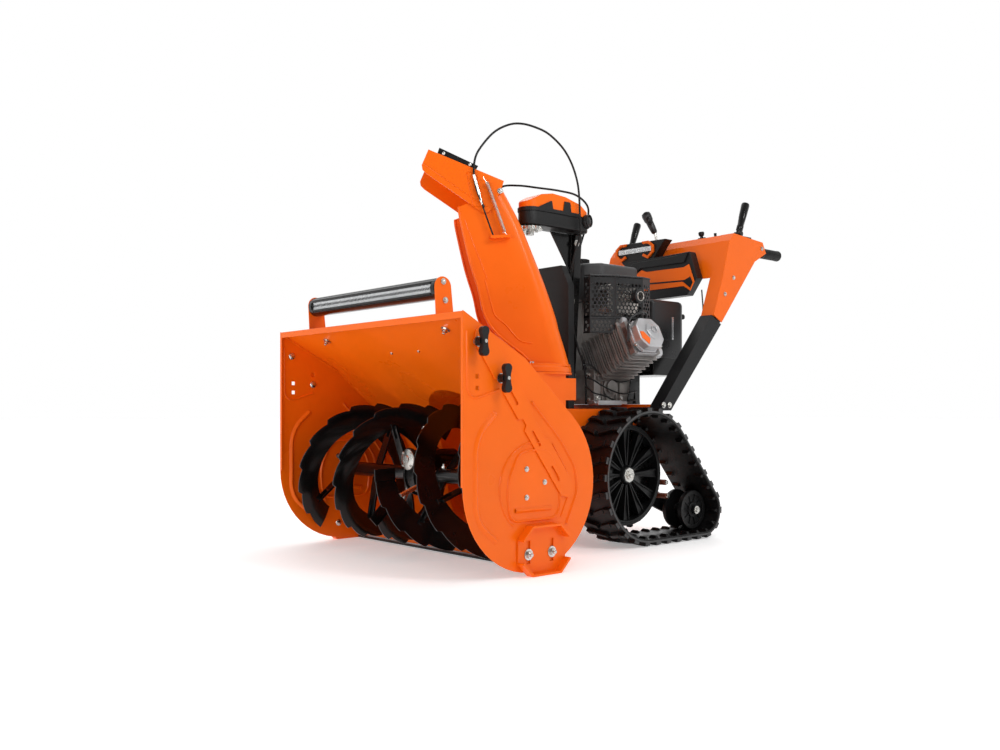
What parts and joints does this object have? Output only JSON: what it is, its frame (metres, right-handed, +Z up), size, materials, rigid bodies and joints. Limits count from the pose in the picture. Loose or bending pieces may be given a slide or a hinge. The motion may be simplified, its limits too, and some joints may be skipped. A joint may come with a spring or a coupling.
{
  "type": "snow blower",
  "caption": "Walk-behind two-stage snow blower with serrated auger, tall rotating chute with tilting deflector, engine, crawler tracks and handlebar console.",
  "frame": {"origin": "centre of the footprint, on the ground", "axes": "+Z up, +Y towards the operator at the handles (the auger housing faces -Y), +X to the operator's left"},
  "size_m": [0.896, 1.505, 1.1743],
  "materials": {
    "orange_coat": "satin powder coat",
    "black_steel": "gloss black enamel",
    "bare_steel": "zinc plated",
    "grey_steel": "plain steel",
    "cast_alloy": "die cast",
    "black_plastic": "moulded, fine grain",
    "black_rubber": "matt rubber",
    "cable_jacket": "smooth sleeve",
    "clear_lens": "clear ribbed lens"
  },
  "bodies": {
    "root": {"housing_side_left": "orange_coat", "housing_side_right": "orange_coat", "housing_wrapper": "orange_coat", "impeller_drum": "orange_coat", "scraper_bar": "black_steel", "skid_shoe_left": "orange_coat", "skid_shoe_right": "orange_coat", "drift_cutter_left": "orange_coat", "drift_cutter_right": "orange_coat", "drift_knob_upper_left": "black_plastic", "drift_knob_upper_right": "black_plastic", "drift_knob_lower_left": "black_plastic", "drift_knob_lower_right": "black_plastic", "light_bar_body": "black_steel", "light_bar_lens": "clear_lens", "light_bracket_left": "orange_coat", "light_bracket_right": "orange_coat", "gearcase": "cast_alloy", "belt_cover": "black_plastic", "drive_belt": "black_rubber", "chute_post": "black_steel", "gear_head_base": "black_plastic", "gear_head_cover": "orange_coat", "deflector_cable": "cable_jacket", "chute_lock_cable": "cable_jacket", "chassis_frame": "orange_coat", "engine_block": "cast_alloy", "valve_cover": "cast_alloy", "muffler": "grey_steel", "muffler_guard": "grey_steel", "fuel_tank": "black_plastic", "recoil_cover": "black_plastic", "handlebar_left": "black_steel", "handlebar_right": "black_steel", "console": "orange_coat", "console_bezel": "black_plastic"},
    "auger": {"auger_shaft": "bare_steel", "auger_left": "black_steel", "auger_right": "black_steel"},
    "impeller_rotor": {"impeller": "orange_coat", "impeller_shaft": "grey_steel"},
    "crank": {"crank_pulley": "grey_steel"},
    "chute_turret": {"chute": "orange_coat", "chute_gear": "bare_steel", "deflector_spring": "bare_steel"},
    "deflector_hood": {"deflector": "orange_coat", "deflector_strip": "black_rubber"},
    "wheel_left": {"drive_wheel_left": "black_plastic"},
    "wheel_right": {"drive_wheel_right": "black_plastic"},
    "track_left": {"track_belt_left": "black_rubber", "track_arm_left": "black_steel"},
    "track_right": {"track_belt_right": "black_rubber", "track_arm_right": "black_steel"},
    "idler_left": {"idler_left": "black_plastic"},
    "idler_right": {"idler_right": "black_plastic"},
    "chute_lever": {"chute_lever": "black_plastic"},
    "auger_lever": {"auger_lever": "black_plastic"},
    "traction_lever": {"traction_lever": "black_plastic"},
    "speed_lever": {"speed_lever": "black_plastic"},
    "fuel_cap": {"fuel_cap": "black_plastic"}
  },
  "joints": [
    {"name": "auger_spin", "type": "hinge", "parent": "root", "child": "auger", "pos_m": [0, -0.5455, 0.2134], "axis": [1, 0, 0], "continuous": true},
    {"name": "impeller_spin", "type": "hinge", "parent": "root", "child": "impeller_rotor", "pos_m": [0, -0.2725, 0.255], "axis": [0, 1, 0], "continuous": true},
    {"name": "crank_spin", "type": "hinge", "parent": "root", "child": "crank", "pos_m": [0, -0.1125, 0.49], "axis": [0, 1, 0], "continuous": true},
    {"name": "chute_turn", "type": "hinge", "parent": "root", "child": "chute_turret", "pos_m": [0.085, -0.2475, 0.487], "axis": [0, 0, 1], "range_deg": [-50, 120], "deforming": ["deflector_cable", "chute_lock_cable"]},
    {"name": "deflector_tilt", "type": "hinge", "parent": "chute_turret", "child": "deflector_hood", "pos_m": [0.03338, -0.32122, 0.975], "axis": [0.8192, -0.5736, 0], "range_deg": [0, 45], "deforming": ["deflector_spring"]},
    {"name": "chute_lever_turn", "type": "hinge", "parent": "root", "child": "chute_lever", "pos_m": [-0.085, 0.5095, 0.945], "axis": [0, 1, 0], "range_deg": [-16, 37]},
    {"name": "wheel_left_spin", "type": "hinge", "parent": "root", "child": "wheel_left", "pos_m": [0.185, 0.0255, 0.196], "axis": [1, 0, 0], "continuous": true},
    {"name": "wheel_right_spin", "type": "hinge", "parent": "root", "child": "wheel_right", "pos_m": [-0.185, 0.0255, 0.196], "axis": [1, 0, 0], "continuous": true},
    {"name": "track_left_pitch", "type": "hinge", "parent": "root", "child": "track_left", "pos_m": [0.155, 0.0255, 0.196], "axis": [1, 0, 0], "range_deg": [0, 10]},
    {"name": "track_right_pitch", "type": "hinge", "parent": "root", "child": "track_right", "pos_m": [-0.155, 0.0255, 0.196], "axis": [1, 0, 0], "range_deg": [0, 10]},
    {"name": "idler_left_spin", "type": "hinge", "parent": "track_left", "child": "idler_left", "pos_m": [0.214, 0.2715, 0.083], "axis": [1, 0, 0], "continuous": true},
    {"name": "idler_right_spin", "type": "hinge", "parent": "track_right", "child": "idler_right", "pos_m": [-0.214, 0.2715, 0.083], "axis": [1, 0, 0], "continuous": true},
    {"name": "auger_lever_squeeze", "type": "hinge", "parent": "root", "child": "auger_lever", "pos_m": [0.2285, 0.5325, 0.948], "axis": [-1, 0, 0], "range_deg": [0, 60], "stiffness_Nm_per_rad": 0.4, "springref_deg": -17.19},
    {"name": "traction_lever_squeeze", "type": "hinge", "parent": "root", "child": "traction_lever", "pos_m": [-0.2285, 0.5325, 0.948], "axis": [-1, 0, 0], "range_deg": [0, 60], "stiffness_Nm_per_rad": 0.4, "springref_deg": -17.19},
    {"name": "speed_select", "type": "hinge", "parent": "root", "child": "speed_lever", "pos_m": [0.1, 0.5125, 0.945], "axis": [1, 0, 0], "range_deg": [-25, 25]},
    {"name": "fuel_cap_turn", "type": "hinge", "parent": "root", "child": "fuel_cap", "pos_m": [0.022, 0.0225, 0.8204], "axis": [0, 0, 1], "range_deg": [0, 120]}
  ],
  "couplings": [
    {"joint": "impeller_spin", "follows": "auger_spin", "ratio": 10},
    {"joint": "crank_spin", "follows": "auger_spin", "ratio": 30},
    {"joint": "chute_lever_turn", "follows": "chute_turn", "ratio": 0.3},
    {"joint": "track_right_pitch", "follows": "track_left_pitch", "ratio": 1},
    {"joint": "idler_left_spin", "follows": "wheel_left_spin", "ratio": 2.81},
    {"joint": "idler_right_spin", "follows": "wheel_right_spin", "ratio": 2.81}
  ]
}
